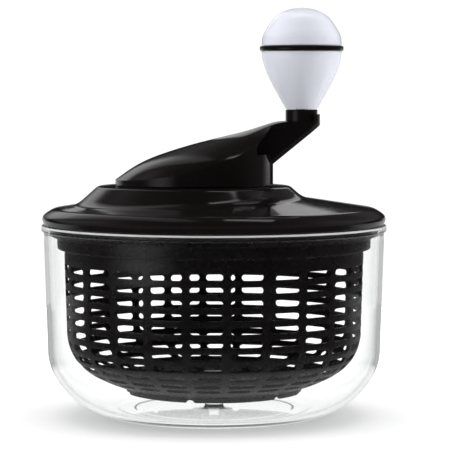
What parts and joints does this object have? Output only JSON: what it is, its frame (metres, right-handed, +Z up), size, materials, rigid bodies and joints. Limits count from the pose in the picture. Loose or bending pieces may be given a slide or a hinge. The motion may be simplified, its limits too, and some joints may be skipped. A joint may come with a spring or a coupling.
{
  "type": "salad spinner",
  "caption": "Clear round bowl with a slotted spin basket, an off-centre geared lid and a rising side crank with an egg-shaped knob.",
  "frame": {"origin": "centre of the bowl's base, on the surface it stands on", "axes": "+Z up along the bowl's and basket's axis, +X towards the crank's knob at rest, -Y towards the viewer's front"},
  "size_m": [0.25, 0.25, 0.2955],
  "materials": {
    "clear_plastic": "clear moulded plastic, polished",
    "basket_black": "black moulded plastic, semi-gloss",
    "lid_black": "black moulded plastic, high gloss",
    "cover_black": "black moulded plastic, satin",
    "knob_white": "white moulded plastic, gloss",
    "bearing_white": "natural acetal",
    "gear_white": "natural acetal",
    "seal_rubber": "soft black silicone",
    "shaft_steel": "turned steel",
    "screw_steel": "plated steel"
  },
  "bodies": {
    "bowl": {"bowl": "clear_plastic"},
    "lid": {"lid_shell": "lid_black", "lid_seal": "seal_rubber", "gear_cover": "basket_black", "gear_cover_screws": "screw_steel", "crank_bush": "bearing_white", "drive_bush": "bearing_white"},
    "crank": {"crank_shell": "lid_black", "crank_cover": "cover_black", "crank_cover_screws": "screw_steel", "crank_shaft": "shaft_steel", "ring_gear": "gear_white", "crank_washer": "screw_steel", "crank_screw": "screw_steel", "knob_collar": "lid_black", "knob_axle": "shaft_steel", "knob_clip": "screw_steel"},
    "knob": {"knob_lower": "knob_white", "knob_upper": "knob_white", "knob_ring": "seal_rubber"},
    "drive": {"pinion": "gear_white", "drive_plate": "basket_black", "drive_washer": "screw_steel", "drive_screw": "screw_steel"},
    "basket_pivot": {"pivot_cup": "bearing_white"},
    "basket": {"basket": "basket_black"}
  },
  "joints": [
    {"name": "lid_lift", "type": "slide", "parent": "bowl", "child": "lid", "axis": [0, 0, 1], "range_m": [0, 0.3]},
    {"name": "crank_spin", "type": "hinge", "parent": "lid", "child": "crank", "pos_m": [-0.0145, 0, 0.17], "axis": [0, 0, 1], "continuous": true},
    {"name": "knob_spin", "type": "hinge", "parent": "crank", "child": "knob", "pos_m": [0.0634, 0, 0.25], "axis": [0, 0, 1], "continuous": true},
    {"name": "drive_spin", "type": "hinge", "parent": "lid", "child": "drive", "pos_m": [0, 0, 0.145], "axis": [0, 0, 1], "continuous": true},
    {"name": "basket_lift", "type": "slide", "parent": "bowl", "child": "basket_pivot", "axis": [0, 0, 1], "range_m": [0, 0.15]},
    {"name": "basket_spin", "type": "hinge", "parent": "basket_pivot", "child": "basket", "pos_m": [0, 0, 0.03], "axis": [0, 0, 1], "continuous": true}
  ],
  "couplings": [
    {"joint": "drive_spin", "follows": "crank_spin", "ratio": 2.8125},
    {"joint": "basket_spin", "follows": "crank_spin", "ratio": 2.8125},
    {"joint": "basket_lift", "follows": "lid_lift", "ratio": 0.5}
  ]
}
